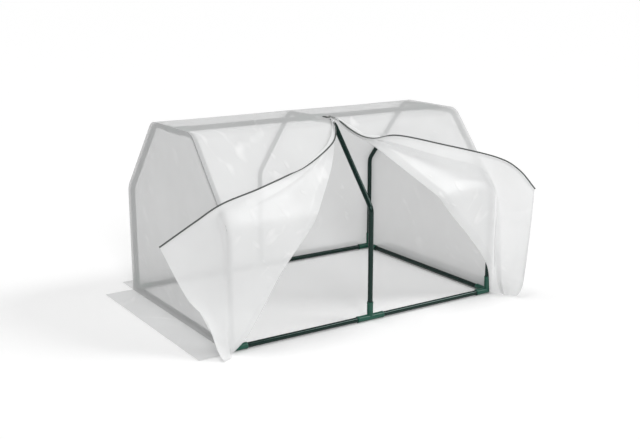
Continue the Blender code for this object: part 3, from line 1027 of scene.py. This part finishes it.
    def chain(self, grid: Grid) -> Piece:
        """Sweep the half zip along the door's edge.

        Args:
            grid: The film's rows that the zip follows.

        Returns:
            The zip's object.
        """
        points = []
        rows, count = len(grid), len(ZIP_SECTION)
        outs = unit(grid[:, -1] - grid[:, -3])
        for _ in range(self.passes):
            outs[1:-1] = 0.5 * outs[1:-1] + 0.25 * (outs[:-2] + outs[2:])
        edge = [Vector(point) for point in grid[:, -1]]
        (rise, top), (fall, end) = self.mouth_rise, self.mouth_fall
        for index, (place, ahead) in enumerate(zip(edge, headings(edge))):
            out = Vector(outs[index])
            out = (out - out.project(ahead)).normalized()
            up = ahead.cross(out).normalized()
            raised = eased((index - rise) / (top - rise)) * (1.0 - eased((index - fall) / (end - fall)))
            start = place + self.mouth_lift * raised * Vector(self.mouth_way)
            points += [start + across * out + height * up for across, height in ZIP_SECTION]
        faces = grid_faces(rows, count, closed=True) + caps(rows, count)
        item = new_piece("chain_" + self.side.word, np.array(points), faces, ZIP)
        runs = np.concatenate([[0.0], np.cumsum(np.linalg.norm(np.diff(grid[:, -1], axis=0), axis=1))])
        layer = item.data.uv_layers.new(name="run")
        for loop in item.data.loops:
            row, corner = divmod(loop.vertex_index, count)
            layer.data[loop.index].uv = (runs[row], corner / count)
        return item

    def hang(self, item: Piece) -> None:
        """Bake a piece's place into its mesh. The knee at the crease and the way out are worked out, but
        nothing blends the piece between frame and door.

        Args:
            item: The piece.
        """
        knee, _ = OUTLINE.corners(OUTLINE.film_offset)
        knee.x = self.side.value * self.hinge * OUTLINE.half_length
        out = Vector(self.blend_way)
        out.x *= self.side.value
        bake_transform(item)


LEFT_DOOR = Door(
    side=Side.LEFT,
    crease=((0, 0), (0.10, 0.045), (0.25, 0.163), (0.42, 0.345), (0.56, 0.50), (0.69, 0.657), (0.83, 0.79),
            (0.94, 0.90), (1, 1)),
    zip_edge=((0.014, 0.004, 0.003), (0.058, 0.100, 0.011), (0.15, 0.178, 0.020), (0.41, 0.269, 0.018),
              (0.73, 0.337, 0.019), (1.01, 0.383, 0.019),
              (0.060, -0.068, 0.384, 0), (0.144, -0.136, 0.305, 0)),
    hem=((0.105, -0.059, 0.175), (0.068, -0.013, 0.113), (0.054, 0.031, 0.029), (0.044, 0.046, 0.004)),
    hinge=0.355, flare=0.016, flat=(0.79, 0.49), area=0.168)

RIGHT_DOOR = Door(
    side=Side.RIGHT,
    crease=((0, 0), (0.09, 0.055), (0.18, 0.20), (0.43, 0.47), (0.56, 0.615), (0.70, 0.80), (0.85, 0.96),
            (1, 1)),
    zip_edge=((0.014, 0.006, 0.003), (0.072, 0.100, 0.010), (0.18, 0.163, 0.020), (0.36, 0.200, 0.041),
              (0.64, 0.282, 0.056), (1.00, 0.390, 0.074), (0.067, 0.032, 0.425, 0), (0.130, 0.049, 0.355, 0)),
    hem=((0.108, 0.064, 0.250), (0.075, 0.082, 0.110), (0.056, 0.089, 0.036), (0.040, 0.083, 0.006)),
    hinge=0.378, flare=0.022, flat=(0.79, 0.49), area=0.164, passes=50, billow=0.017, crest=2.0)


@dataclass
class Cover:
    """The fixed film: back, roof and front in one sheet, two end walls and three ground skirts."""

    stride: float = 0.014
    columns: int = 34
    slack: float = 0.0030
    slack_sizes: Pair = (0.20, 0.06)
    held_width: float = 0.05
    end_slack: float = 1.2
    seam: float = 0.012
    skirt: float = 0.100
    skirt_rows: int = 12
    ripple: float = 0.0028
    ripple_sizes: Pair = (0.09, 0.035)
    ripple_width: float = 0.04
    laid: float = 0.0005
    gap: float = 0.0006

    def sag(self, point: Vector, free: float) -> float:
        """Return how far slack film gives way inwards.

        Args:
            point: The place.
            free: How free the film is there, from 0 to 1.

        Returns:
            The depth.
        """
        broad, fine = self.slack_sizes
        swells = 0.8 + wander(point, broad, 1.0) + 0.15 * wander(point, fine, 5.0)
        return free * self.slack * max(0.0, swells) / 2

    def half(self, door: Door) -> Grid:
        """Return the grid of one half of the main sheet, from the back's foot to the front's.

        Args:
            door: The half's door, whose crease ends the sheet.

        Returns:
            The grid.
        """
        line = OUTLINE
        reach = door.side.value * (line.half_length + line.film_offset - self.gap)
        front = line.front(line.film_offset)
        back = [Vector((0, -point.y, point.z)) for point in reversed(front)]
        parting = line.door(line.film_offset)
        whole = strides(back + front[:-len(parting)], self.stride)
        parted = strides(parting, self.stride)
        marks = [-1.0] * len(whole) + shares(parted)
        path = whole + parted
        rows = []
        for point, down, ahead in zip(path, marks, headings(path)):
            normal = ahead.cross(X).normalized()
            inner = 0.0 if down < 0 else door.across(down)
            foot = eased((point.z - line.foot) / self.held_width)
            row = []
            for step in range(self.columns + 1):
                place = Vector((inner + (reach - inner) * step / self.columns, point.y, point.z))
                between = math.sin(math.pi * min(1.0, abs(place.x) / line.half_length))
                edge = 1.0 if down < 0 else eased(abs(place.x - inner) / self.held_width)
                row.append(place - self.sag(place, foot * edge * between) * normal)
            rows.append(row)
        return np.array(rows)

    def main_sheet(self) -> None:
        """Build back, roof and fixed front panels as one sheet, with a welded seam at the back's foot."""
        film = Sheet()
        for door in (LEFT_DOOR, RIGHT_DOOR):
            grid = self.half(door)
            film.add(grid)
            film.add_strip(grid[0], grid[1], np.array(Y), self.seam)
        item = film.made("film_cover", FILM)
        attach(item, "frame_and_cover")
        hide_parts("cover_back_and_roof", "cover_front_left", "cover_front_right")

    def end_wall(self, side: Side) -> None:
        """Build one six-sided end wall.

        Args:
            side: Which end.
        """
        line = OUTLINE
        profile = strides(line.front(line.film_offset + line.film / 2)[1:], self.stride)
        x = side.value * (line.half_length + line.film_offset)
        rows = []
        for point in reversed(profile):
            height = point.z / line.top_height
            loose = min(1.0, 6 * height * max(0.0, 1.02 - height))
            row = []
            for step in range(self.columns + 1):
                share = 2 * step / self.columns - 1
                place = Vector((x, share * abs(point.y), point.z))
                free = self.end_slack * (1 - share ** 4) * loose
                row.append(place - side.value * self.sag(place, free) * X)
            rows.append(row)
        grid = np.array(rows)
        film = Sheet()
        film.add(grid)
        film.add_strip(grid[0], grid[1], np.array(side.value * X), self.seam)
        # the end wall takes the darker film, a painted shade
        item = film.made("film_end_" + side.word, SHADED_END_FILM)
        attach(item, "frame_and_cover")
        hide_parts("cover_end_" + side.word)

    def ground_skirt(self, name: str, start: Vector, along: Vector, out: Vector) -> None:
        """Lay one ground skirt.

        Args:
            name: The CAD node.
            start: The corner it starts from, on the wall's foot.
            along: The way along the wall, as long as the skirt.
            out: The way out from the wall, as wide as the skirt.
        """
        rows = []
        steps = round(along.length / self.stride)
        broad, fine = self.ripple_sizes
        for row in range(self.skirt_rows + 1):
            points = []
            for step in range(steps + 1):
                place = start + along * step / steps + out * row / self.skirt_rows
                swells = max(0.0, 0.25 + wander(place, broad, 2.0) + 0.4 * wander(place, fine, 9.0))
                free = eased(row / self.skirt_rows * self.skirt / self.ripple_width)
                place.z = self.laid + self.ripple * free * swells
                points.append(place)
            rows.append(points)
        film = Sheet()
        film.add(np.array(rows))
        # the skirts take the lighter film, painted light where they would lie in shade
        item = film.made("film_" + name, LIT_DOOR_FILM)
        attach(item, "frame_and_cover")
        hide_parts(name)

    def build(self) -> None:
        """Build the cover."""
        self.main_sheet()
        line = OUTLINE
        deep, wide = line.half_depth + line.film_offset, line.half_length + line.film_offset
        for side in Side:
            self.end_wall(side)
            corner = Vector((side.value * wide, -deep, 0))
            self.ground_skirt("ground_skirt_" + side.word, corner, 2 * deep * Y, side.value * self.skirt * X)
        wide -= self.gap
        self.ground_skirt("ground_skirt_back", Vector((-wide, deep, 0)), 2 * wide * X, self.skirt * Y)


@dataclass
class Zip:
    """The joined length of zip on the roof, its slider and its pull."""

    soft_edge: float = 0.0004

    def build(self) -> None:
        """Dress the zip's nodes with soft edges."""
        for name, finish, slot in (("zip_joined", ZIP, "zip_chain"), ("zip_slider", METAL, "zip_metal"),
                                   ("zip_pull", METAL, "zip_metal")):
            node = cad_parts[name]
            node.data.materials.clear()
            node.data.materials.append(finish.material())
            edge = node.modifiers.new("soft_edge", "BEVEL")
            edge.width = self.soft_edge
            edge.segments = 2


@dataclass(frozen=True)
class Lamp:
    """One far, wide lamp: where it shines from, how wide it looks and its strength."""

    source: Triple
    width: float
    strength: float


@dataclass
class Studio:
    """White floor, plain lamps and the camera."""

    focal_pixels: float = 984.117
    frame_pixels: float = 640.0
    sensor: float = 36.0
    place: Triple = (-1.73691615, -2.70575648, 1.06157967)
    view: Triple = (0.53162675, 0.81120453, -0.24355742)
    floor_size: float = 240.0
    floor_drop: float = 0.0005
    surround: float = 0.40
    lamps: tuple[Lamp, ...] = (Lamp((-0.20, 0.15, 0.97), 24.0, 0.92), Lamp((-0.25, -0.85, 0.47), 16.0, 0.66),
                               Lamp((0.62, -0.42, 0.66), 22.0, 0.86))

    def camera(self) -> None:
        """Place the camera."""
        data = bpy.data.cameras.new("camera")
        data.sensor_width = self.sensor
        data.lens = self.focal_pixels / self.frame_pixels * self.sensor
        camera = linked("camera", data)
        camera.location = self.place
        camera.rotation_euler = Vector(self.view).to_track_quat("-Z", "Y").to_euler()
        bpy.context.scene.camera = camera

    def lights(self) -> None:
        """Add the lamps and an even surround, which is white where it is seen."""
        for index, lamp in enumerate(self.lamps):
            data = bpy.data.lights.new(f"lamp_{index}", "SUN")
            data.angle = math.radians(lamp.width)
            data.energy = lamp.strength
            item = linked(f"lamp_{index}", data)
            item.rotation_euler = (-Vector(lamp.source)).to_track_quat("-Z", "Y").to_euler()
        world = bpy.data.worlds.new("surround")
        bpy.context.scene.world = world
        world.use_nodes = True
        nodes = Nodes(world.node_tree)
        nodes.put(nodes.surface["Color"], (1.0, 1.0, 1.0, 1.0))
        level = nodes.ranged(nodes.seen_directly(), 0.0, 1.0, self.surround, 1.0)
        nodes.put(nodes.surface["Strength"], level)

    def floor(self) -> None:
        """Lay the white floor."""
        half = self.floor_size / 2
        corners = ((-half, -half), (half, -half), (half, half), (-half, half))
        points = np.array([(x, y, -self.floor_drop) for x, y in corners])
        new_piece("floor", points, [(0, 1, 2, 3)], FLOOR)

    def build(self) -> None:
        """Set the whole stage."""
        self.camera()
        self.lights()
        self.floor()
        bpy.context.scene.view_settings.view_transform = "Standard"


def main() -> None:
    """Build the classes in order and report each piece."""
    logging.basicConfig(level=logging.INFO)
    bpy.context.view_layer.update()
    for piece in (TubeFrame(), Connectors(), Cover(), LEFT_DOOR, RIGHT_DOOR, Zip(), Studio()):
        piece.build()
        LOG.info("built %s", type(piece).__name__)


if __name__ == "__main__":
    main()
